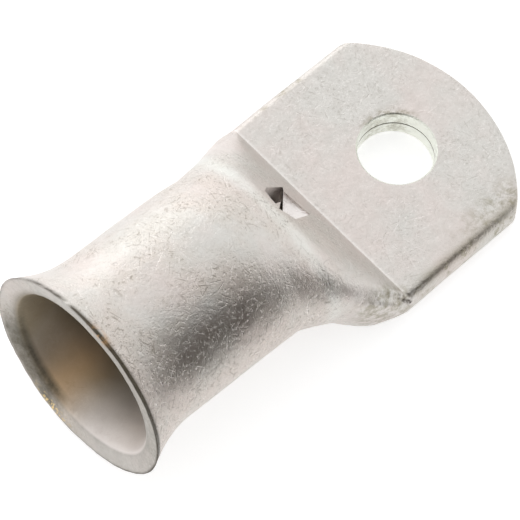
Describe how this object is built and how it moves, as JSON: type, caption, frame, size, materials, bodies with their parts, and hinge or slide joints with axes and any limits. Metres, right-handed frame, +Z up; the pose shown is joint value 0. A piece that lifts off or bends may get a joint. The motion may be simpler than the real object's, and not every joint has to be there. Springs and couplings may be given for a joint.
{
  "type": "copper cable lug",
  "caption": "Tinned copper tube lug with a bell-mouthed barrel, a pressed flat palm, a bolt hole and a sight hole.",
  "frame": {"origin": "centre of the bolt hole on the underside of the palm", "axes": "+X from the barrel to the tip of the palm, +Z up out of the palm along the bolt hole, +Y to the left when looking towards the tip"},
  "size_m": [0.1013, 0.0488, 0.0424],
  "materials": {
    "tin": "dull tin coat on copper, finely scratched"
  },
  "bodies": {
    "root": {"lug": "tin"}
  },
  "joints": []
}
